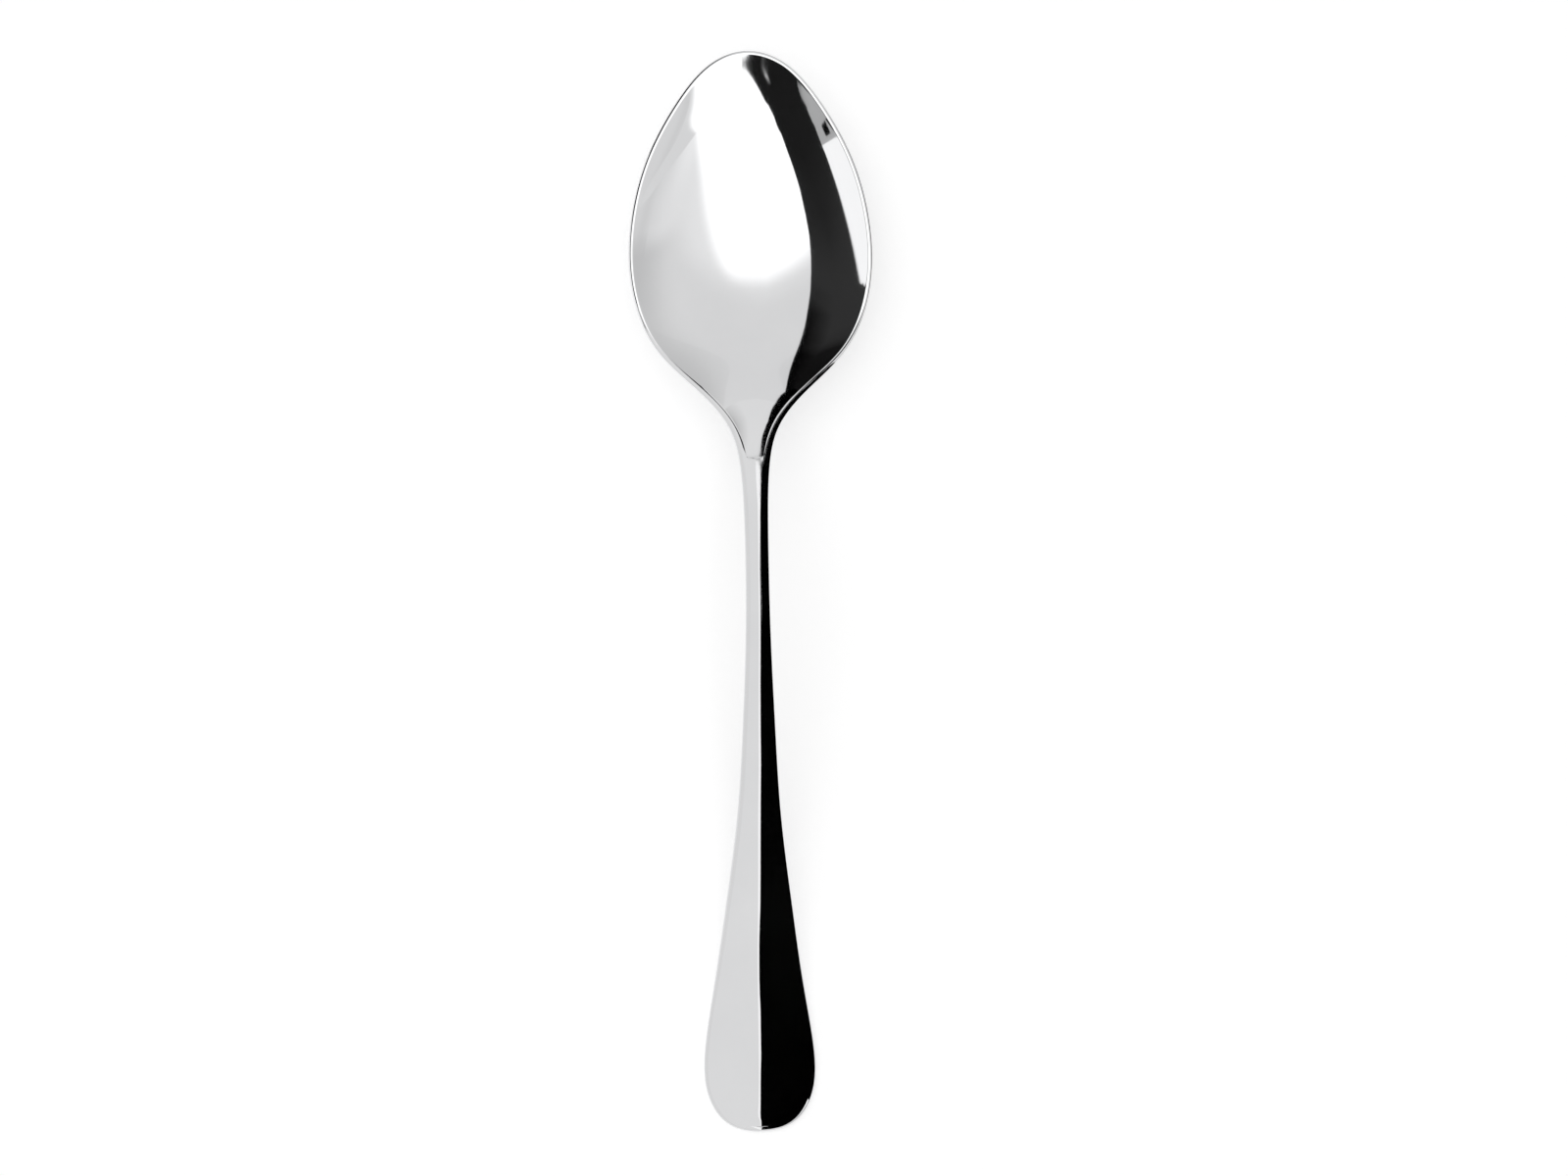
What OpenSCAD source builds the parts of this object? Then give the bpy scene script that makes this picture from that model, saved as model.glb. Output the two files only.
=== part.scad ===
// Tablespoon: one polished steel forging, drawn as its bowl, neck, stem and handle.
// It lies on z = 0 with the hollow of the bowl upwards and the bowl's tip towards +Y.
// Every section is a curved mid line with a wall laid on both sides of it and half-round edges.
// Lengths are in mm, and s is the distance from the bowl's tip towards the handle's end.

/* [Overall] */
// Length over all
spoon_length = 205; // [180:1:230]
// Highest point of the underside, where the stem arches off the table
arch_height = 17.5; // [12:0.5:22]

/* [Bowl] */
// Length from the tip to the neck
bowl_length = 72; // [62:1:80]
// Width of the bowl over its rim
bowl_width = 46; // [38:0.5:52]
// Depth of the hollow below the rim
bowl_depth = 9.5; // [6:0.25:12]
// Wall at the deepest place
bowl_wall = 1.6; // [1.2:0.1:2.4]
// Wall at the rim, which is rounded over
rim_wall = 1.0; // [0.8:0.1:1.4]

/* [Stem] */
// Width at the narrowest place
stem_width = 4.4; // [3.8:0.1:6]
// Thickness of the stem
stem_thickness = 3.3; // [2.4:0.1:3.6]

/* [Handle] */
// Width at the broad end
handle_width = 21.2; // [16:0.2:26]
// Thickness along the edge of the broad end
handle_thickness = 2.0; // [1.6:0.1:2.6]
// Slope of the two top faces that fall away from the centre ridge, in degrees
ridge_angle = 4.5; // [0:0.25:8]
// How softly the two faces meet along the ridge
ridge_softness = 0.4; // [0.2:0.05:1.5]

/* [Mesh] */
// Steps across each face
across_steps = 18; // [10:2:30]
// Steps round each half-round edge
edge_steps = 5; // [3:1:8]
// Steps along each span between two control points
span_steps = 5; // [3:1:8]
// Steps along the first and the last span, where the outline turns round
end_steps = 8; // [6:1:10]

/* [Hidden] */
steel = [0.78, 0.79, 0.8];

handle_length = spoon_length - bowl_length;
// height of the rim's underside that brings the belly of the bowl down to the table
rim_rise = bowl_depth + bowl_wall - rim_wall;
// small step for rates of change
dt = 0.001;
// first and last station, this far from the outline's ends
end_gap = 0.02;

// control points of the half outline: [share of the length, share of the half width]
bowl_outline = [
    [-0.0125, 0],
    [0.025, 0.335],
    [0.13, 0.6],
    [0.27, 0.85],
    [0.41, 0.975],
    [0.55, 1.018],
    [0.68, 0.955],
    [0.795, 0.79],
    [0.885, 0.46],
    [0.975, 0.195]
];
stem_outline = [
    [0.044, 1.13],
    [0.15, 0.98],
    [0.286, 1.02],
    [0.42, 1.41],
    [0.541, 1.77]
];
handle_outline = [
    [0.662, 0.578],
    [0.782, 0.783],
    [0.88, 1.014],
    [0.944, 1.016],
    [0.993, 0.66],
    [1.0035, 0]
];
outline_points = concat(
    [for (p = bowl_outline) [p[0] * bowl_length, p[1] * bowl_width / 2]],
    [for (p = stem_outline) [bowl_length + p[0] * handle_length, p[1] * stem_width / 2]],
    [for (p = handle_outline) [bowl_length + p[0] * handle_length, p[1] * handle_width / 2]]
);
// the outline's control points where one part of the spoon passes into the next
neck_at = len(bowl_outline);
stem_at = neck_at + 1;
handle_at = stem_at + 2;
end_at = len(outline_points) - 1;

// even pitch of the control values from the tip to the handle's end
length_pitch = spoon_length / 16;
// underside of the edge, control heights; the last three are level, so the broad end lies flat on the table
profile = concat(
    [for (k = [1.06, 1.01, 1, 1, 1.02]) k * rim_rise],
    [for (k = [0.66, 0.82, 0.97, 1.04, 1, 0.89, 0.71, 0.48, 0.23]) k * arch_height],
    [0, 0, 0]
);
// depth of the hollow, as a share of bowl_depth, from the tip to past the neck
hollow_pitch = bowl_length / 8;
hollow = [0, 0.53, 0.855, 0.995, 1.015, 0.89, 0.575, 0.16, 0, 0];
// radius of the rounded edge, control values
edge_radius = concat(
    [for (i = [0:4]) rim_wall / 2],
    [1.1 * rim_wall / 2],
    [0.82, 1.02, 1, 0.98, 0.95, 0.88] * stem_thickness / 2,
    [1.3, 1.14, 1, 1, 1] * handle_thickness / 2
);
// where the centre ridge of the handle comes up out of the neck, in s
ridge_from = bowl_length + 0.02 * handle_length;
ridge_full = bowl_length + 0.16 * handle_length;

// weights of four neighbouring control points, f of the way through a span
function weights(f) = [
    pow(1 - f, 3),
    3 * pow(f, 3) - 6 * f * f + 4,
    -3 * pow(f, 3) + 3 * f * f + 3 * f + 1,
    pow(f, 3)
] / 6;

// control point i of the half outline, mirrored over the middle plane past both ends
function outline_control(i) =
    i < 0 ? [outline_points[-i][0], -outline_points[-i][1]] :
    i > end_at ? [outline_points[2 * end_at - i][0], -outline_points[2 * end_at - i][1]] :
    outline_points[i];

// outline at t, counted in control points: [s, half width]
function outline(t) =
    let (i = max(0, min(end_at - 1, floor(t))))
    let (w = weights(t - i))
    w[0] * outline_control(i - 1) + w[1] * outline_control(i)
    + w[2] * outline_control(i + 1) + w[3] * outline_control(i + 2);

// outward direction of the outline in plan: [along s, across]
function outward(t) =
    let (d = outline(t + dt) - outline(t - dt))
    [-d[1], d[0]] / norm(d);

// control value i of a list, carried on in a straight line past its ends
function held(values, i) =
    let (last = len(values) - 1)
    i < 0 ? values[0] + i * (values[1] - values[0]) :
    i > last ? values[last] + (i - last) * (values[last] - values[last - 1]) :
    values[i];

// smooth curve through the neighbourhood of evenly spaced control values
function curve(values, pitch, s) =
    let (i = floor(s / pitch))
    let (w = weights(s / pitch - i))
    w[0] * held(values, i - 1) + w[1] * held(values, i)
    + w[2] * held(values, i + 1) + w[3] * held(values, i + 2);

function ease(x) =
    let (k = max(0, min(1, x)))
    k * k * k * (k * (6 * k - 15) + 10);

function radius_at(s) = curve(edge_radius, length_pitch, s);
function height_at(s) = curve(profile, length_pitch, s) + radius_at(s);
function depth_at(s) = bowl_depth * curve(hollow, hollow_pitch, s - rim_wall / 2);
function belly_at(s) = (bowl_wall - rim_wall) * curve(hollow, hollow_pitch, s - rim_wall / 2);
function ridge_at(s) = tan(ridge_angle) * ease((s - ridge_from) / (ridge_full - ridge_from));

// centre line of the rounded edge in plan: [s, half width]
function border(t) =
    let (p = outline(t))
    p - radius_at(p[0]) * outward(t);

// mid surface at t, u from -1 at the left edge to 1 at the right edge: [x, s, z]
function middle(t, u) =
    let (b = border(t))
    [u * b[1], b[0], height_at(b[0]) - depth_at(b[0]) * (1 - u * u)];

// upward normal of the mid surface
function normal(t, u) =
    let (b = border(t))
    let (b1 = border(t + dt))
    let (b0 = border(t - dt))
    let (widening = (b1[1] - b0[1]) / (b1[0] - b0[0]))
    let (rise = (height_at(b[0] + dt) - height_at(b[0] - dt)) / (2 * dt))
    let (deepening = (depth_at(b[0] + dt) - depth_at(b[0] - dt)) / (2 * dt))
    let (slope_x = 2 * depth_at(b[0]) * u / b[1])
    let (slope_s = rise - deepening * (1 - u * u) - 2 * depth_at(b[0]) * u * u * widening / b[1])
    let (n = [-slope_x, -slope_s, 1])
    n / norm(n);

// fall of the top face from the ridge, across the half width
function fall(x) = sqrt(x * x + ridge_softness * ridge_softness) - ridge_softness;

function top_point(t, u) =
    let (b = border(t))
    let (ridge = ridge_at(b[0]) * (fall(b[1]) - fall(u * b[1])))
    middle(t, u) + (radius_at(b[0]) + ridge) * normal(t, u);

function bottom_point(t, u) =
    let (b = border(t))
    let (swell = belly_at(b[0]) * pow(1 - u * u, 2))
    middle(t, u) - (radius_at(b[0]) + swell) * normal(t, u);

// rounded edge on one side (-1 left, 1 right), turned by angle from the top face
function edge_point(t, side, angle) =
    let (b = border(t))
    let (n = normal(t, side))
    let (o = outward(t))
    let (flat = [side * o[1], o[0], 0])
    let (out = flat - (flat * n) * n)
    middle(t, side) + radius_at(b[0]) * (cos(angle) * n + sin(angle) * out / norm(out));

// turns s into y, so that the middle of the length is y = 0
function placed(p) = [p[0], spoon_length / 2 - p[1], p[2]];

// one closed section: top face, right edge, underside, left edge
function section(t) =
    let (start = atan(ridge_at(border(t)[0])))
    [for (p = concat(
        [for (i = [1:across_steps - 1]) top_point(t, 2 * i / across_steps - 1)],
        [for (i = [0:edge_steps]) edge_point(t, 1, start + (180 - start) * i / edge_steps)],
        [for (i = [1:across_steps - 1]) bottom_point(t, 1 - 2 * i / across_steps)],
        [for (i = [0:edge_steps]) edge_point(t, -1, 180 - (180 - start) * i / edge_steps)]
    )) placed(p)];

function total(points, i = 0) = i == len(points) - 1 ? points[i] : points[i] + total(points, i + 1);

// point that closes a ring: the outermost one at the spoon's two ends, else the ring's middle
function closing_point(t, ring) =
    let (end = t < 1 ? outline(0) : outline(end_at))
    t < 1 || t > end_at - 1 ? placed([0, end[0], height_at(end[0])]) :
    total(ring) / len(ring);

function steps(from, to, count) = [for (i = [1:count]) from + (to - from) * i / count];

// solid between the sections at the given stations, closed by a fan at each end
module loft(stations) {
    rings = [for (t = stations) section(t)];
    n = len(rings[0]);
    last = len(rings) - 1;
    first_middle = n * (last + 1);
    last_middle = first_middle + 1;
    points = concat(
        [for (ring = rings) each ring],
        [closing_point(stations[0], rings[0]), closing_point(stations[last], rings[last])]
    );
    side_faces = [
        for (r = [0:last - 1])
        for (i = [0:n - 1])
        let (a = r * n + i)
        let (b = r * n + (i + 1) % n)
        each [[a, b, b + n], [a, b + n, a + n]]
    ];
    first_faces = [for (i = [0:n - 1]) [first_middle, (i + 1) % n, i]];
    last_faces = [for (i = [0:n - 1]) [last_middle, last * n + i, last * n + (i + 1) % n]];
    polyhedron(points, concat(side_faces, first_faces, last_faces));
}

// oval hollow with its rounded rim, and the shoulders that close in towards the neck
module bowl() {
    color(steel)
        loft(concat(
            [end_gap],
            steps(end_gap, 1, end_steps),
            steps(1, neck_at, span_steps * (neck_at - 1))
        ));
}

// short run where the flat heel of the bowl becomes the oval of the stem
module neck() {
    color(steel)
        loft(concat([neck_at], steps(neck_at, stem_at, span_steps)));
}

// slim oval bar that arches off the table
module stem() {
    color(steel)
        loft(concat([stem_at], steps(stem_at, handle_at, span_steps * (handle_at - stem_at))));
}

// flat-backed handle with a centre ridge and a broad round end that rests on the table
module handle() {
    color(steel)
        loft(concat(
            [handle_at],
            steps(handle_at, end_at - 1, span_steps * (end_at - 1 - handle_at)),
            steps(end_at - 1, end_at - end_gap, end_steps)
        ));
}

bowl();
neck();
stem();
handle();
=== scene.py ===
import math

import bpy
import numpy as np
from mathutils import Matrix, Vector


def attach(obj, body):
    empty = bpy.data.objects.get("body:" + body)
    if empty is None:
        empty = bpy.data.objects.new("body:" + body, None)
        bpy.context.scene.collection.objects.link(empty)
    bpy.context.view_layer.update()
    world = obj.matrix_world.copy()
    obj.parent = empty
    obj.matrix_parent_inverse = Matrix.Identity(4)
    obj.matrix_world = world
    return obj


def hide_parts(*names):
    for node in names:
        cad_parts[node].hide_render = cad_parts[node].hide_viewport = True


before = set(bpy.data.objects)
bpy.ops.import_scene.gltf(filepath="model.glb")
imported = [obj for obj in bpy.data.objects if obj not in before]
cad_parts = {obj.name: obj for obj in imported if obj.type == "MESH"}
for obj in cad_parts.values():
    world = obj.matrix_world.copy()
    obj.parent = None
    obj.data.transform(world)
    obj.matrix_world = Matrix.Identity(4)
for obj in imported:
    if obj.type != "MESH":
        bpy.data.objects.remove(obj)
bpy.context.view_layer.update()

# Lengths are in mm until they go into a mesh. s runs from the bowl's tip to the handle's end.
MM = 0.001

# The spoon's own sizes
LENGTH = 205.0
ARCH = 17.5
BOWL_LENGTH, BOWL_WIDTH, BOWL_DEPTH = 72.0, 46.0, 9.5
BOWL_WALL, RIM_WALL = 1.6, 1.0
STEM_WIDTH, STEM_THICKNESS = 4.4, 3.3
HANDLE_WIDTH, HANDLE_THICKNESS = 21.2, 2.0
RIDGE_ANGLE, RIDGE_SOFTNESS = math.radians(4.5), 0.4
HANDLE_LENGTH = LENGTH - BOWL_LENGTH
RIM_RISE = BOWL_DEPTH + BOWL_WALL - RIM_WALL

# Half outlines. The bowl's are shares of its length and half width. The other two are shares of
# the whole length behind the bowl, and of the stem's or the handle's half width.
BOWL_OUTLINE = [
    (-0.0125, 0), (0.025, 0.335), (0.13, 0.6), (0.27, 0.85), (0.41, 0.975),
    (0.55, 1.018), (0.68, 0.955), (0.795, 0.79), (0.885, 0.46), (0.975, 0.195),
]
STEM_OUTLINE = [(0.044, 1.13), (0.15, 0.98), (0.286, 1.02), (0.42, 1.41), (0.541, 1.77)]
HANDLE_OUTLINE = [
    (0.662, 0.578), (0.782, 0.783), (0.88, 1.014), (0.944, 1.016), (0.993, 0.66), (1.0035, 0),
]
# Where one node ends and the next begins, counted in control points of the outline
CUTS = {"bowl": (0.0, 10.0), "neck": (10.0, 11.0), "stem": (11.0, 13.0), "handle": (13.0, 20.0)}

# Heights and edge radii, spaced evenly along the spoon, and the hollow, along the bowl
PITCH = LENGTH / 16
RISE = [k * RIM_RISE for k in (1.06, 1.01, 1, 1, 1.02)]
RISE += [k * ARCH for k in (0.66, 0.82, 0.97, 1.04, 1, 0.89, 0.71, 0.48, 0.23)] + [0, 0, 0]
HOLLOW_PITCH = BOWL_LENGTH / 8
HOLLOW = [0, 0.53, 0.855, 0.995, 1.015, 0.89, 0.575, 0.16, 0, 0]
EDGE = [RIM_WALL / 2] * 5 + [1.1 * RIM_WALL / 2]
EDGE += [k * STEM_THICKNESS / 2 for k in (0.82, 1.02, 1, 0.98, 0.95, 0.88)]
EDGE += [k * HANDLE_THICKNESS / 2 for k in (1.3, 1.14, 1, 1, 1)]
RIDGE_FROM = BOWL_LENGTH + 0.02 * HANDLE_LENGTH
RIDGE_FULL = BOWL_LENGTH + 0.16 * HANDLE_LENGTH

# Mesh density: stations in each node, then points across the top, the back and each edge
STATIONS = {"bowl": 190, "neck": 16, "stem": 28, "handle": 120}
TOP_POINTS, BACK_POINTS, EDGE_POINTS = 112, 84, 16
# Powers that crowd the stations towards the spoon's ends and the points towards its ridge
END_CROWDING, RIDGE_CROWDING = 1.6, 1.4
# What the last loop keeps from the tip, and the step for slopes, both in t
TIP_GAP = 0.004
STEP = 1e-3
# Values added before and after a curve's own
BEFORE, AFTER = 4, 39

# Steel: two tints, two roughnesses, and the part of the noise that spreads over them
STEEL_DEEP, STEEL_LIGHT = (0.662, 0.664, 0.672, 1), (0.694, 0.695, 0.702, 1)
STEEL_SMOOTH, STEEL_ROUGH = 0.025, 0.05
NOISE_LOW, NOISE_HIGH = 0.3, 0.7
HAIRLINE_SCALE = (5200.0, 130.0, 5200.0)
# Sockets of a colour mix, whose names other sockets share
MIX_A, MIX_B, MIX_RESULT = 6, 7, 2

# Background and floor, in metres
WHITE = (1.0, 1.0, 1.0, 1.0)
FLOOR_PAINT = (0.86, 0.86, 0.86, 1.0)
SKY_LIGHT, SKY_SHOWN = 0.3, 1.0
FLOOR_GLOW = 0.48
FLOOR_HALF, FLOOR_HEIGHT = 6.0, -0.0001

# Studio cards: levels of light, where 1 is the background's
BLACK, NEAR_BLACK = 0.0, 0.012
WALL_PALE, PALE = 0.95, 1.0
STRIP_BRIGHT, SIDE_BRIGHT, SIDE_GREY = 1.3, 1.35, 0.55
# Studio cards: places
WALL_DISTANCE = 2500
FLAG_HEIGHT, FLAG_END_HEIGHT = 60, 110
GLINT_HEIGHT, GLINT_HALF = 109, 9
SOFTBOX_HEIGHT, SOFTBOX_POINTS = 120.0, 90
BOWL_MIDDLE = np.array([0, 65.0, 8.0])
SIDE_X, SIDE_NEAR, SIDE_FAR = -300, -69, 230
TENT_LEFT, TENT_RIGHT, TENT_TOP = -40, 60, 43.5
TENT_FRONT, TENT_END = -260, 40
# Just above the floor
LOW = 0.15
# The board begins so high, at so much along the spoon, and leans by so much in so much height.
BOARD_LOW, BOARD_FOOT, BOARD_LEAN, BOARD_RISE = 26, 54, 44, 94
# Its black part ends and its white part ends at these x.
BOARD_SPLIT, BOARD_RIGHT = 9, 160
BOARD_WHITE, BOARD_BRIGHTER = 0.97, 0.75

half = [(a * BOWL_LENGTH, b * BOWL_WIDTH / 2) for a, b in BOWL_OUTLINE]
half += [(BOWL_LENGTH + a * HANDLE_LENGTH, b * STEM_WIDTH / 2) for a, b in STEM_OUTLINE]
half += [(BOWL_LENGTH + a * HANDLE_LENGTH, b * HANDLE_WIDTH / 2) for a, b in HANDLE_OUTLINE]
control = np.array([(half[1][0], -half[1][1])] + half + [(half[-2][0], -half[-2][1])])
LAST = len(half) - 1


def weights(f):
    """The four weights of a uniform cubic B-spline."""
    rising = -3 * f**3 + 3 * f * f + 3 * f + 1
    falling = 3 * f**3 - 6 * f * f + 4
    return np.stack([(1 - f) ** 3, falling, rising, f**3]) / 6


def outline(t):
    """[s, half width] of the outline at t."""
    i = np.clip(np.floor(t), 0, LAST - 1).astype(int)
    w = weights(t - i)
    return sum(w[k][..., None] * control[i + k] for k in range(4))


def outward(t):
    """The outline's own normal in plan, as [along s, across]."""
    d = outline(t + STEP) - outline(t - STEP)
    o = np.stack([-d[..., 1], d[..., 0]], -1)
    return o / np.linalg.norm(o, axis=-1, keepdims=True)


def curve(values, pitch, s):
    """A smooth curve that follows evenly spaced values, carried on straight past both ends."""
    v = np.array(values, float)
    before = v[0] + np.arange(-BEFORE, 0) * (v[1] - v[0])
    after = v[-1] + np.arange(1, AFTER + 1) * (v[-1] - v[-2])
    v = np.concatenate([before, v, after])
    x = s / pitch
    i = np.floor(x).astype(int)
    w = weights(x - i)
    return sum(w[k] * v[i + k + BEFORE - 1] for k in range(4))


def ramp(x, start, end):
    """0 up to start, 1 from end on, and smooth between."""
    k = np.clip((x - start) / (end - start), 0, 1)
    return k**3 * (k * (6 * k - 15) + 10)


def radius_at(s):
    return curve(EDGE, PITCH, s)


def height_at(s):
    return curve(RISE, PITCH, s) + radius_at(s)


def hollow_at(s):
    return curve(HOLLOW, HOLLOW_PITCH, s - RIM_WALL / 2)


def ridge_at(s):
    return math.tan(RIDGE_ANGLE) * ramp(s, RIDGE_FROM, RIDGE_FULL)


def fall(x):
    """Distance from the ridge, rounded off where it is small."""
    return np.sqrt(x * x + RIDGE_SOFTNESS**2) - RIDGE_SOFTNESS


def border(t):
    """The outline drawn in by the edge's radius, as [s, half width]."""
    p = outline(t)
    return p - radius_at(p[..., 0])[..., None] * outward(t)


def middle(t, u):
    """Mid line of the wall at t, from one border at u = -1 to the other at u = 1, as [x, s, z]."""
    b = border(t)
    s = b[..., 0] + 0 * u
    z = height_at(s) - BOWL_DEPTH * hollow_at(s) * (1 - u * u)
    return np.stack([u * b[..., 1], s, z], -1)


def normal(t, u):
    """Upward normal of the wall's mid surface."""
    b = border(t)
    wider = border(t + STEP) - border(t - STEP)
    s = b[..., 0]
    depth = BOWL_DEPTH * hollow_at(s)
    rise = (height_at(s + STEP) - height_at(s - STEP)) / (2 * STEP)
    deeper = BOWL_DEPTH * (hollow_at(s + STEP) - hollow_at(s - STEP)) / (2 * STEP)
    across = 2 * depth * u / b[..., 1]
    flare = 2 * depth * u * u * wider[..., 1] / wider[..., 0] / b[..., 1]
    along = rise - deeper * (1 - u * u) - flare
    n = np.stack([-across, -along, 1 + 0 * along], -1)
    return n / np.linalg.norm(n, axis=-1, keepdims=True)


def top_point(t, u):
    """The spoon's top, with its ridge."""
    b = border(t)
    ridge = ridge_at(b[..., 0]) * (fall(b[..., 1]) - fall(u * b[..., 1]))
    return middle(t, u) + (radius_at(b[..., 0]) + ridge)[..., None] * normal(t, u)


def back_point(t, u):
    """The spoon's back, with the bowl's thicker floor."""
    b = border(t)
    belly = (BOWL_WALL - RIM_WALL) * hollow_at(b[..., 0]) * (1 - u * u) ** 2
    return middle(t, u) - (radius_at(b[..., 0]) + belly)[..., None] * normal(t, u)


def edge_point(t, side, share):
    """Half-round edge on one side, from the top at share 0 to the back at share 1."""
    one = np.full_like(t, side)
    n = normal(t, one)
    o = outward(t)
    flat = np.stack([side * o[..., 1], o[..., 0], 0 * t], -1)
    out = flat - (flat * n).sum(-1, keepdims=True) * n
    out /= np.linalg.norm(out, axis=-1, keepdims=True)
    s = border(t)[..., 0]
    start = np.arctan(ridge_at(s))
    a = (start + share * (math.pi - start))[..., None]
    return middle(t, one) + radius_at(s)[..., None] * (np.cos(a) * n + np.sin(a) * out)


def rings(t):
    """One closed loop of points round the spoon for each station t, in metres."""
    t = t[:, None]
    v = np.linspace(-1, 1, TOP_POINTS + 2)[None, 1:-1]
    top = top_point(t, np.sign(v) * np.abs(v) ** RIDGE_CROWDING)
    back = back_point(t, np.linspace(1, -1, BACK_POINTS + 2)[None, 1:-1])
    turn = np.linspace(0, 1, EDGE_POINTS)[None, :]
    wide = np.broadcast_to(t, (len(t), EDGE_POINTS))
    right, left = edge_point(wide, 1, turn), edge_point(wide, -1, turn[:, ::-1])
    loop = np.concatenate([top, right, back, left], 1)
    return np.stack([loop[..., 0], LENGTH / 2 - loop[..., 1], loop[..., 2]], -1) * MM


def stations(node):
    """Values of t along a node, closer together towards the spoon's two ends."""
    first, last = CUTS[node]
    x = np.linspace(0, 1, STATIONS[node])
    if node == "bowl":
        return TIP_GAP + (last - TIP_GAP) * x**END_CROWDING
    if node == "handle":
        return last - TIP_GAP - (last - TIP_GAP - first) * (1 - x) ** END_CROWDING
    return first + (last - first) * x


def end_point(t):
    """The point that closes the skin at the tip or the handle's end, in metres."""
    s = float(outline(np.array(t))[0])
    return np.array([0, LENGTH / 2 - s, float(height_at(np.array(s)))]) * MM


def skin(loops):
    """Smooth normals of a tube of loops, from its neighbours on all four sides."""
    along = np.gradient(loops, axis=0)
    round_ = np.roll(loops, -1, 1) - np.roll(loops, 1, 1)
    n = np.cross(along, round_)
    return n / np.linalg.norm(n, axis=-1, keepdims=True)


def build_spoon(material):
    """The four pieces of the spoon, cut from one continuous skin so that no seam shows."""
    spans = {node: stations(node) for node in CUTS}
    rest = [spans[node][1:] for node in ("neck", "stem", "handle")]
    loops = rings(np.concatenate([spans["bowl"]] + rest))
    normals = skin(loops)
    first = 0
    for node, t in spans.items():
        last = first + len(t)
        ends = (
            end_point(0.0) if node == "bowl" else loops[first].mean(0),
            end_point(float(LAST)) if node == "handle" else loops[last - 1].mean(0),
        )
        capped = (node != "bowl", node != "handle")
        piece = tube("spoon_" + node, loops[first:last], normals[first:last], ends, capped)
        piece.data.materials.append(material)
        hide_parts(node)
        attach(piece, "root")
        first = last - 1


def tube(name, loops, normals, ends, capped):
    """A closed mesh of loops with a point at each end. A capped end is flat, inside the spoon."""
    rows, count = loops.shape[:2]
    points = np.concatenate([loops.reshape(-1, 3), np.array(ends)])
    i = np.arange(rows - 1)[:, None] * count
    j = np.arange(count)[None, :]
    k = (j + 1) % count
    quads = np.stack([i + j, i + count + j, i + count + k, i + k], -1).reshape(-1, 4)
    head, tail, last = rows * count, rows * count + 1, (rows - 1) * count
    j, k = j[0], k[0]
    fan0 = np.stack([np.full(count, head), j, k], -1)
    fan1 = np.stack([np.full(count, tail), last + k, last + j], -1)
    mesh = bpy.data.meshes.new(name)
    mesh.from_pydata(points.tolist(), [], quads.tolist() + fan0.tolist() + fan1.tolist())
    mesh.shade_smooth()
    tips = [[0, 1, 0], [0, -1, 0]]
    vertex_normals = np.concatenate([normals.reshape(-1, 3), tips])
    corner = np.empty(len(mesh.loops), int)
    mesh.loops.foreach_get("vertex_index", corner)
    split = vertex_normals[corner]
    fans = 4 * len(quads) + np.arange(2 * 3 * count).reshape(2, -1)
    for fan, tip, is_cap in zip(fans, tips, capped):
        if is_cap:
            split[fan] = tip
    mesh.normals_split_custom_set(split.tolist())
    mesh.update()
    piece = bpy.data.objects.new(name, mesh)
    bpy.context.collection.objects.link(piece)
    return piece


def nodes_of(owner):
    """The empty node tree of a material or world."""
    owner.use_nodes = True
    tree = owner.node_tree
    tree.nodes.clear()
    return tree


def add(tree, kind, **settings):
    """A node with its settings, which are values of its sockets or its own properties."""
    node = tree.nodes.new(kind)
    for key, value in settings.items():
        if isinstance(value, (int, float, tuple)) and key in node.inputs:
            node.inputs[key].default_value = value
        else:
            setattr(node, key, value)
    return node


def spread(tree, noise, low, high):
    """A noise's middle part, spread from low to high."""
    limits = {"From Min": NOISE_LOW, "From Max": NOISE_HIGH, "To Min": low, "To Max": high}
    node = add(tree, "ShaderNodeMapRange", **limits)
    tree.links.new(noise.outputs["Fac"], node.inputs["Value"])
    return node.outputs["Result"]


def polished_steel():
    """Mirror-polished steel: faint smears, and hairlines left along the spoon by polishing."""
    mat = bpy.data.materials.new("polished_steel")
    tree = nodes_of(mat)
    link = tree.links.new
    place = add(tree, "ShaderNodeTexCoord")
    shader = add(tree, "ShaderNodeBsdfPrincipled", Metallic=1.0)
    out = add(tree, "ShaderNodeOutputMaterial")
    link(shader.outputs["BSDF"], out.inputs["Surface"])

    smear = add(tree, "ShaderNodeTexNoise", Scale=55.0, Detail=4.0, Roughness=0.55)
    link(place.outputs["Object"], smear.inputs["Vector"])
    stretch = add(tree, "ShaderNodeMapping", Scale=HAIRLINE_SCALE)
    link(place.outputs["Object"], stretch.inputs["Vector"])
    hairline = add(tree, "ShaderNodeTexNoise", Scale=1.0, Detail=2.0, Roughness=0.6)
    link(stretch.outputs["Vector"], hairline.inputs["Vector"])

    colour = add(tree, "ShaderNodeMix", data_type="RGBA")
    colour.inputs[MIX_A].default_value = STEEL_DEEP
    colour.inputs[MIX_B].default_value = STEEL_LIGHT
    link(spread(tree, smear, 0.0, 1.0), colour.inputs["Factor"])
    link(colour.outputs[MIX_RESULT], shader.inputs["Base Color"])
    link(spread(tree, smear, STEEL_SMOOTH, STEEL_ROUGH), shader.inputs["Roughness"])

    bump = add(tree, "ShaderNodeBump", Strength=0.06, Distance=0.000004)
    link(hairline.outputs["Fac"], bump.inputs["Height"])
    link(bump.outputs["Normal"], shader.inputs["Normal"])
    return mat


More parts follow.
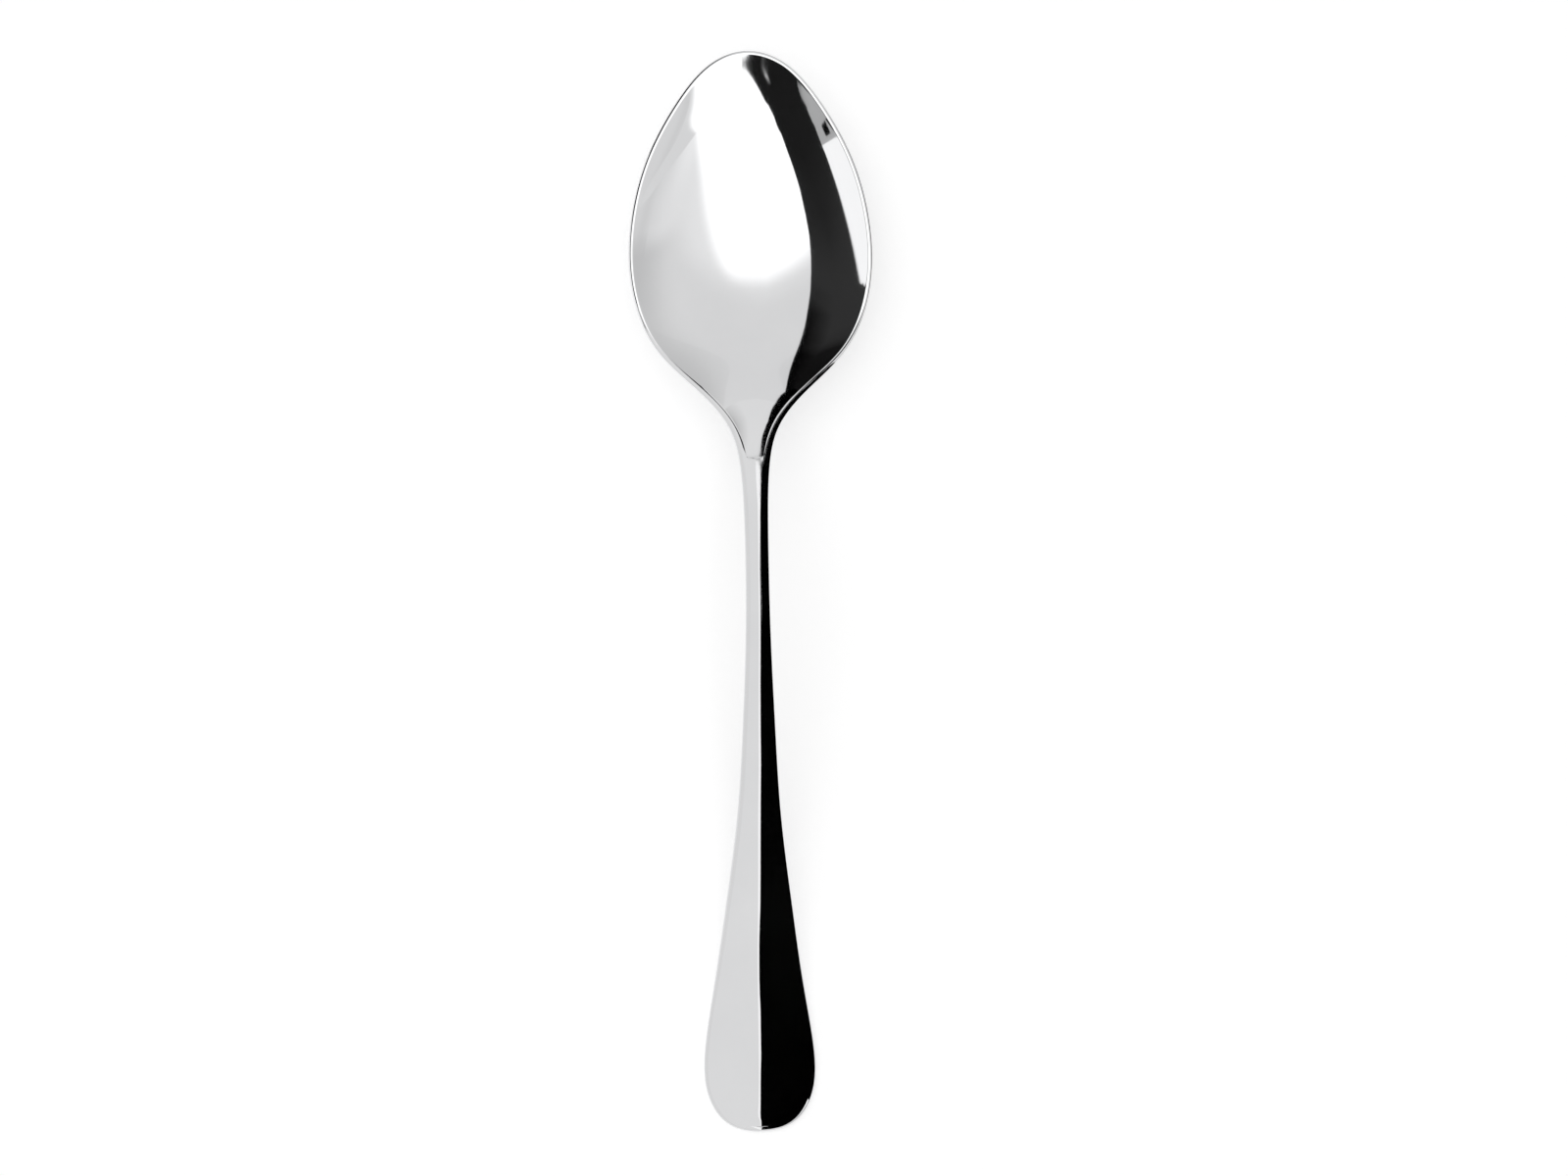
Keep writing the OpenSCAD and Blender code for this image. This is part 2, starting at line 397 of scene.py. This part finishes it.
def shown_to_eye_and_mirror(tree):
    """1 for rays from the camera, and for rays mirrored or let through; 0 for the others."""
    path = add(tree, "ShaderNodeLightPath")
    total = path.outputs["Is Camera Ray"]
    for name in ("Is Glossy Ray", "Is Transmission Ray"):
        either = add(tree, "ShaderNodeMath", operation="MAXIMUM")
        tree.links.new(total, either.inputs[0])
        tree.links.new(path.outputs[name], either.inputs[1])
        total = either.outputs[0]
    return total


def make_world():
    world = bpy.data.worlds.new("studio")
    bpy.context.scene.world = world
    tree = nodes_of(world)
    level = add(tree, "ShaderNodeMapRange", **{"To Min": SKY_LIGHT, "To Max": SKY_SHOWN})
    tree.links.new(shown_to_eye_and_mirror(tree), level.inputs["Value"])
    sky = add(tree, "ShaderNodeBackground", Color=WHITE)
    tree.links.new(level.outputs["Result"], sky.inputs["Strength"])
    out = add(tree, "ShaderNodeOutputWorld")
    tree.links.new(sky.outputs["Background"], out.inputs["Surface"])


def make_floor():
    mat = bpy.data.materials.new("floor")
    tree = nodes_of(mat)
    paint = add(tree, "ShaderNodeBsdfDiffuse", Color=FLOOR_PAINT)
    glow = add(tree, "ShaderNodeEmission", Color=WHITE)
    level = add(tree, "ShaderNodeMath", operation="MULTIPLY")
    tree.links.new(shown_to_eye_and_mirror(tree), level.inputs[0])
    level.inputs[1].default_value = FLOOR_GLOW
    tree.links.new(level.outputs[0], glow.inputs["Strength"])
    both = add(tree, "ShaderNodeAddShader")
    tree.links.new(paint.outputs["BSDF"], both.inputs[0])
    tree.links.new(glow.outputs["Emission"], both.inputs[1])
    out = add(tree, "ShaderNodeOutputMaterial")
    tree.links.new(both.outputs["Shader"], out.inputs["Surface"])
    mesh = bpy.data.meshes.new("floor")
    signs = ((-1, -1), (1, -1), (1, 1), (-1, 1))
    corners = [(a * FLOOR_HALF, b * FLOOR_HALF, FLOOR_HEIGHT) for a, b in signs]
    mesh.from_pydata(corners, [], [(0, 1, 2, 3)])
    mesh.materials.append(mat)
    floor = bpy.data.objects.new("floor", mesh)
    bpy.context.collection.objects.link(floor)


def card_material():
    """A sheet that sends out as much light as its points say."""
    mat = bpy.data.materials.new("card")
    tree = nodes_of(mat)
    level = add(tree, "ShaderNodeAttribute", attribute_name="glow")
    glow = add(tree, "ShaderNodeEmission", Color=WHITE)
    tree.links.new(level.outputs["Fac"], glow.inputs["Strength"])
    out = add(tree, "ShaderNodeOutputMaterial")
    tree.links.new(glow.outputs["Emission"], out.inputs["Surface"])
    return mat


def card(name, points, faces, glow, mat):
    """A studio card that only mirrors see. Points are in mm."""
    mesh = bpy.data.meshes.new(name)
    mesh.from_pydata([[c * MM for c in p] for p in points], [], faces)
    mesh.attributes.new("glow", "FLOAT", "POINT").data.foreach_set("value", glow)
    mesh.materials.append(mat)
    sheet = bpy.data.objects.new(name, mesh)
    bpy.context.collection.objects.link(sheet)
    sheet.visible_camera = False
    sheet.visible_diffuse = False
    sheet.visible_transmission = False
    sheet.visible_volume_scatter = False
    sheet.visible_shadow = False


def flat_card(name, points, glow, mat):
    """A card of one face and one level."""
    card(name, points, [list(range(len(points)))], [glow] * len(points), mat)


def sheet_card(name, rows, glow, mat):
    """A card of rows of points, as many in each row; glow is one number, or one for each point."""
    rows = np.array(rows, float)
    n, m = rows.shape[:2]
    i, j = np.meshgrid(np.arange(n - 1), np.arange(m - 1), indexing="ij")
    a = (i * m + j).ravel()
    faces = np.stack([a, a + 1, a + m + 1, a + m], -1).tolist()
    glow = np.broadcast_to(glow, (n, m)).ravel()
    card(name, rows.reshape(-1, 3).tolist(), faces, glow.tolist(), mat)


def upright_card(name, line, heights, glow, mat):
    """A standing card over a line on the floor."""
    sheet_card(name, [[(x, y, z) for x, y in line] for z in heights], glow, mat)


def floor_card(name, across, along, mat):
    """A black card that lies just above the floor."""
    sheet_card(name, [[(x, y, LOW) for y in along] for x in across], BLACK, mat)


def direction(v):
    """Azimuth and elevation of v, in degrees."""
    flat = np.hypot(v[..., 0], v[..., 1])
    azimuth = np.arctan2(v[..., 1], v[..., 0])
    return np.degrees(azimuth), np.degrees(np.arctan2(v[..., 2], flat))


def studio_level(azimuth, elevation):
    """Light of the far walls: palest overhead, greyer near the floor except at the lower right."""
    level = 0.74 + 0.22 * ramp(elevation, 9, 37)
    lower_right = ramp(azimuth, 7, -2) * ramp(azimuth, -150, -110)
    level += 0.21 * lower_right * (1 - ramp(elevation, 18, 40))
    grey_band = np.exp(-(((elevation - 11.5) / 2.5) ** 2))
    return level - 0.07 * lower_right * grey_band


def make_walls(mat):
    """Far walls and ceiling."""
    az, el = np.meshgrid(np.linspace(-180, 180, 121), np.linspace(0, 90, 61), indexing="ij")
    a, e = np.radians(az), np.radians(el)
    dome = np.stack([np.cos(a) * np.cos(e), np.sin(a) * np.cos(e), np.sin(e)], -1)
    sheet_card("walls", WALL_DISTANCE * dome, studio_level(az, el), mat)


def make_bowl_flags(mat):
    """Black sheets to the left of the bowl, mirrored in the right side of its hollow."""
    near_edge = [
        (-14, 30), (-23.3, 34.3), (-29.2, 38.8), (-35.1, 46.3), (-38.6, 53.6), (-42.5, 62),
        (-43.8, 68), (-44, 72.4), (-42.4, 78), (-40.3, 85), (-38, 94.5), (-34.4, 105),
        (-30.8, 117.3), (-27.8, 132), (-24, 150), (-22, 210),
    ]
    far_edge = [
        (-77.8, 9.4), (-95.9, 1.9), (-115.4, -4.4), (-126.5, 2.8), (-124.4, 10.9), (-121.5, 26.7),
        (-117, 41), (-115, 51), (-114, 59), (-112, 70), (-110.7, 77.5), (-109.9, 86),
        (-110.2, 95.5), (-320, 107), (-420, 112), (-420, 330),
    ]
    # A row a little further out ends the fade
    between = [(x - 24, y + 3) for x, y in near_edge]
    rows = [[(x, y, FLAG_HEIGHT) for x, y in edge] for edge in (near_edge, between, far_edge)]
    # A little light, which the near edge loses towards the tip
    k = np.arange(len(near_edge))
    dark = 0.013 + 0.027 * ramp(k, 1, 11)
    levels = [dark * (1 - ramp(k, 9, 11.5)), dark * (1 - ramp(k, 12, 15)), dark]
    sheet_card("bowl_flag", rows, levels, mat)

    # The far end, higher up, mirrored at the tip
    corners = [
        (24, -50), (15, -49), (5, -47), (-6, -44), (-16, -40), (-26, -35), (-34, -30), (-41, -24),
        (-53, -19), (-59, -13), (-64, -1), (-69, 5), (-95, -10), (-168, -80), (-120, -160),
        (45, -160),
    ]
    flat_card("bowl_flag_end", [(x, y, FLAG_END_HEIGHT) for x, y in corners], NEAR_BLACK, mat)

    # Small lamp before it, as x, y and level
    glint = [
        (-30, -48.3, 0.0), (-31.7, -47.9, 0.17), (-33.5, -47.5, 0.3), (-38, -47.1, 0.5),
        (-42.5, -46.7, 0.95), (-45, -46.2, 1.1), (-47.7, -45.7, 0.7), (-51, -45.1, 0.4),
        (-53.5, -44.4, 0.2), (-55, -43.2, 0.0),
    ]
    sides = (-GLINT_HALF, 0, GLINT_HALF)
    rows = [[(x + side, y, GLINT_HEIGHT) for x, y, _ in glint] for side in sides]
    levels = [[BLACK if side else level for _, _, level in glint] for side in sides]
    sheet_card("glint", rows, levels, mat)


def on_board(x, z, off=0.0):
    """A point of the slanted board at height z, off by that much along the spoon."""
    return x, BOARD_FOOT - (z - BOARD_LOW) * BOARD_LEAN / BOARD_RISE + off, z


def make_board(mat):
    """Slanted board between bowl and handle."""
    # Its upper face is white, brightest at the top, and black on the left.
    across = np.linspace(BOARD_SPLIT, BOARD_RIGHT, 81)
    x, z = np.meshgrid(across, np.linspace(BOARD_LOW, TENT_TOP, 17), indexing="ij")
    bright_from = np.interp(x, (46, 51, 56, 60), (28, 34, 43, 60))
    level = BOARD_WHITE + BOARD_BRIGHTER * ramp(z, bright_from - 4, bright_from + 4)
    sheet_card("board", np.stack(on_board(x, z), -1), level, mat)
    ends = (TENT_LEFT, BOARD_SPLIT)
    rows = [[on_board(x, z) for x in ends] for z in (BOARD_LOW, TENT_TOP)]
    sheet_card("board_flag", rows, NEAR_BLACK, mat)

    # Its lower face, over the neck, has black and pale strips. One border between them bends.
    # It is given as x and z, and stands as None among the strips' x.
    bend = [
        (0.2, 20), (-0.6, 22), (-1.6, 24.5), (-2.4, 28), (-2.7, 30.4), (-2.1, 33.2), (-1, 36),
        (0, 39), (0.9, 41.5), (1.4, 42.7), (1.5, TENT_TOP),
    ]
    # Each strip's x, its levels, and the point of the bend at whose height it begins
    strips = (
        ((TENT_LEFT, -8), (PALE, PALE), 2),
        ((-8, None), (BLACK, BLACK), 0),
        ((None, 3, 6, 7.5), (PALE, PALE, 0.78, 0.5), 2),
        ((7.5, TENT_RIGHT), (BLACK, BLACK), 3),
    )
    for i, (across, levels, first) in enumerate(strips):
        rows = [[on_board(b if x is None else x, z, -1) for b, z in bend[first:]] for x in across]
        sheet_card("board_strip_%d" % i, rows, np.array(levels)[:, None], mat)


def make_softbox(mat):
    """Softbox over the spoon, with one corner cut off and soft borders."""
    across = np.linspace(-150, 400, SOFTBOX_POINTS)
    along = np.linspace(-330, 240, SOFTBOX_POINTS)
    x, y = np.meshgrid(across, along, indexing="ij")
    # How far a point lies inside the cut corner and inside the border beyond the tip
    corner = 147 - x - y
    tip_side = 113 - y - 0.3 * np.maximum(0, -x - 20)
    core = ramp(corner, -23, 23) * ramp(tip_side, -17, 17)
    halo = ramp(corner, -170, 30) * ramp(tip_side - 0.25 * np.maximum(0, x), -47.5, 17.5)
    fade = ramp(y, -320, -180)
    box = np.stack([x, y, np.full_like(x, SOFTBOX_HEIGHT)], -1)
    level = studio_level(*direction(box - BOWL_MIDDLE))
    sheet_card("softbox", box, level + (0.18 * halo + 0.6 * core) * fade, mat)


def make_side_sheets(mat):
    """Upright sheets low on the left: a bright one, a grey one with a black spot, a black one."""
    bright = [(SIDE_X, SIDE_NEAR), (SIDE_X, SIDE_FAR)]
    upright_card("low_white", bright, (0, 130), SIDE_BRIGHT, mat)
    grey = [(SIDE_X, -400), (SIDE_X, SIDE_NEAR)]
    upright_card("low_grey", grey, (0, 240), SIDE_GREY, mat)
    spot = [(SIDE_X + 1, -95), (SIDE_X + 1, -77)]
    upright_card("low_spot", spot, (72, 94), BLACK, mat)
    far = [(SIDE_X, SIDE_FAR), (SIDE_X, 330), (-200, 450), (0, 500)]
    upright_card("low_flag", far, (0, 75), BLACK, mat)


def make_tent(mat):
    """Tent over stem and handle: pale ceiling and wall on the left, black ones on the right."""
    # Border between the ceiling's two tones, as x and y, with a brighter strip on its left
    split = [
        (1.4, 45.8), (1.75, 44.4), (2.9, 39.6), (3.55, 35.6), (4.1, 31.6), (4.75, 27.7),
        (4.95, 21), (4.05, 8), (3.95, -3.25), (3.65, -14), (3.2, -24.4), (3.3, -35.5),
        (4.1, -47.4), (3.85, -59.6), (4.1, -71.8), (4.5, -82.5), (4.3, -90.5), (1.3, -97.2),
        (-0.45, -108), (-0.2, -111), (2, -116), (2.4, -120), (3, -143), (4.3, -173),
        (8.2, TENT_FRONT),
    ]
    x, y = np.array(split).T
    width = 1.7 * ramp(y, 46, 36) + 4.7 * ramp(y, 20, -100) * (1 - 0.62 * ramp(y, -90, -100))

    def ceiling_row(at):
        return np.stack(np.broadcast_arrays(at, y, TENT_TOP), -1)

    sheet_card("tent_pale", [ceiling_row(TENT_LEFT), ceiling_row(x - width)], PALE, mat)
    sheet_card("tent_strip", [ceiling_row(x - width), ceiling_row(x)], STRIP_BRIGHT, mat)
    sheet_card("tent_black", [ceiling_row(x), ceiling_row(TENT_RIGHT)], BLACK, mat)
    heights = (LOW, TENT_TOP)
    left = [(TENT_LEFT, TENT_FRONT), (TENT_LEFT, 45)]
    upright_card("tent_left", left, heights, WALL_PALE, mat)
    right = [(TENT_RIGHT, -122), (TENT_RIGHT, TENT_END)]
    upright_card("tent_right", right, heights, BLACK, mat)

    # End wall beside the neck, black towards the handle and pale towards the bowl
    end = [
        (19, LOW), (TENT_RIGHT, LOW), (TENT_RIGHT, TENT_TOP), (11, TENT_TOP), (11, 20), (19, 20),
    ]
    for place, level in ((TENT_END, BLACK), (TENT_END + 1, WALL_PALE)):
        flat_card("tent_end_%d" % place, [(a, place, z) for a, z in end], level, mat)

    # Black floor to the right of the handle, and of the bowl
    floor_card("tent_floor", (15, TENT_RIGHT), (TENT_FRONT, 44), mat)
    floor_card("bowl_floor", (28, 100), (44, 112), mat)


def make_cards():
    mat = card_material()
    make_walls(mat)
    make_bowl_flags(mat)
    make_board(mat)
    make_softbox(mat)
    make_side_sheets(mat)
    make_tent(mat)


def make_lamp():
    """One broad soft lamp from above, a little from the upper left."""
    lamp = bpy.data.lights.new("key", "SUN")
    lamp.angle = math.radians(70)
    lamp.energy = 1.0
    key = bpy.data.objects.new("key", lamp)
    key.location = (-0.12, 0.1, 0.8)
    key.rotation_euler = (Vector((0, 0, 0)) - key.location).to_track_quat("-Z", "Y").to_euler()
    key.visible_glossy = False
    bpy.context.collection.objects.link(key)


def make_camera():
    """Looks almost straight down, a little from the left, turned a little in the picture."""
    target = Vector((5.44, 0.98, 10.0)) * MM
    distance, tilt, roll = 1.1, math.radians(3.0), math.radians(-0.85)
    back = Vector((-math.sin(tilt), 0, math.cos(tilt)))
    right = Vector((0, 1, 0)).cross(back).normalized()
    up = back.cross(right)
    c, s = math.cos(roll), math.sin(roll)
    right, up = c * right + s * up, c * up - s * right
    lens = bpy.data.cameras.new("camera")
    lens.sensor_width = 36.0
    lens.lens = 133.6
    lens.clip_start, lens.clip_end = 0.05, 50.0
    cam = bpy.data.objects.new("camera", lens)
    turn = Matrix((right, up, back)).transposed().to_4x4()
    cam.matrix_world = Matrix.Translation(target + distance * back) @ turn
    bpy.context.collection.objects.link(cam)
    bpy.context.scene.camera = cam


build_spoon(polished_steel())
make_world()
make_floor()
make_cards()
make_lamp()
make_camera()
bpy.context.scene.view_settings.view_transform = "Standard"
